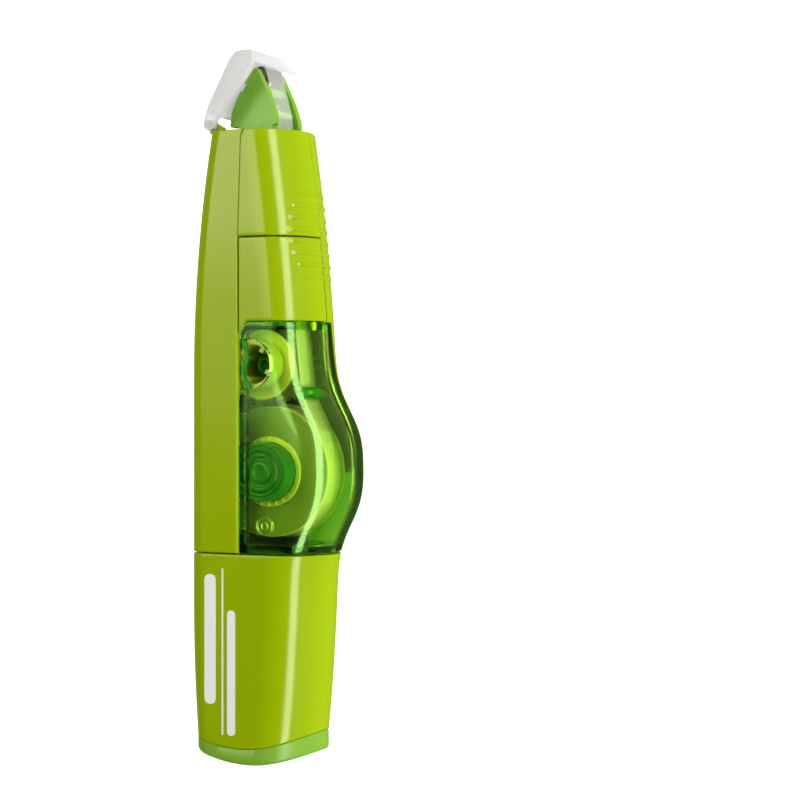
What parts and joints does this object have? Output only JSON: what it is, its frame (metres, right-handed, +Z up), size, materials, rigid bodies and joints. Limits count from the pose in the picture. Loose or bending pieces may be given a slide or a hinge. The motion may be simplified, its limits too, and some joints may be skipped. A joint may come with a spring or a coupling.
{
  "type": "correction tape roller",
  "caption": "Refillable pen-style correction tape roller: sliding refill and rear grip, geared supply and take-up reels, pressing tip and hinged head cover.",
  "frame": {"origin": "centre of the resting face, under the middle of the bounding box, with the roller lying on its far flat side", "axes": "+X along the length towards the pressing tip, +Y towards the back of the body, +Z up through the thickness towards the side with the window"},
  "size_m": [0.1126, 0.0266, 0.016],
  "materials": {
    "lime_shell": "smooth glossy lime green moulding",
    "green_head": "satin apple green moulding",
    "clear_green": "clear green transparent plastic",
    "guide_pin": "smooth apple green plastic",
    "correction_tape": "white correction film wound on a carrier, seen through green plastic",
    "carrier_film": "thin translucent release film",
    "reel_lime": "satin pale lime moulding",
    "clutch_rubber": "dark elastomer ring",
    "tip_brown": "dark brown smooth pressing roller",
    "cover_white": "milky translucent white plastic"
  },
  "bodies": {
    "shell": {"back_shell": "lime_shell", "nose_cover": "lime_shell", "hinge_lugs": "lime_shell"},
    "grip": {"rear_grip": "lime_shell", "end_cap": "green_head"},
    "refill": {"refill_cover": "lime_shell", "case_near": "clear_green", "case_far": "clear_green", "case_tail_wall": "clear_green", "neck": "green_head", "head_frame": "green_head", "head_guides": "guide_pin", "guide_post": "clear_green", "supply_axle": "clear_green", "supply_pin": "clear_green", "takeup_post": "clear_green", "idler_post": "clear_green", "tape_feed": "correction_tape", "tape_return": "carrier_film"},
    "supply_reel": {"supply_core": "reel_lime", "supply_tape": "correction_tape", "clutch_ring": "clutch_rubber", "supply_gear": "reel_lime"},
    "takeup": {"takeup_reel": "reel_lime", "takeup_film": "carrier_film", "takeup_gear": "reel_lime"},
    "idler": {"idler_gear": "reel_lime"},
    "tip": {"tip_roller": "tip_brown"},
    "cover": {"head_cover": "cover_white"}
  },
  "joints": [
    {"name": "refill_slide", "type": "slide", "parent": "shell", "child": "refill", "axis": [-1, 0, 0], "range_m": [0, 0.028]},
    {"name": "grip_slide", "type": "slide", "parent": "shell", "child": "grip", "axis": [-1, 0, 0], "range_m": [0, 0.028]},
    {"name": "cover_hinge", "type": "hinge", "parent": "shell", "child": "cover", "pos_m": [0.045, 0.00925, 0.008], "axis": [0, 0, 1], "range_deg": [0, 130]},
    {"name": "supply_spin", "type": "hinge", "parent": "refill", "child": "supply_reel", "pos_m": [-0.0102, 0.00105, 0.008], "axis": [0, 0, 1], "continuous": true},
    {"name": "takeup_spin", "type": "hinge", "parent": "refill", "child": "takeup", "pos_m": [0.0068, 0.00215, 0.008], "axis": [0, 0, 1], "continuous": true},
    {"name": "idler_spin", "type": "hinge", "parent": "refill", "child": "idler", "pos_m": [-0.00058, 0.00525, 0.008], "axis": [0, 0, 1], "continuous": true},
    {"name": "tip_spin", "type": "hinge", "parent": "refill", "child": "tip", "pos_m": [0.0535, 0.00295, 0.008], "axis": [0, 0, 1], "continuous": true}
  ],
  "couplings": [
    {"joint": "grip_slide", "follows": "refill_slide", "ratio": 1},
    {"joint": "takeup_spin", "follows": "supply_spin", "ratio": 1.4545},
    {"joint": "idler_spin", "follows": "supply_spin", "ratio": -3.2},
    {"joint": "tip_spin", "follows": "supply_spin", "ratio": 10.3}
  ]
}
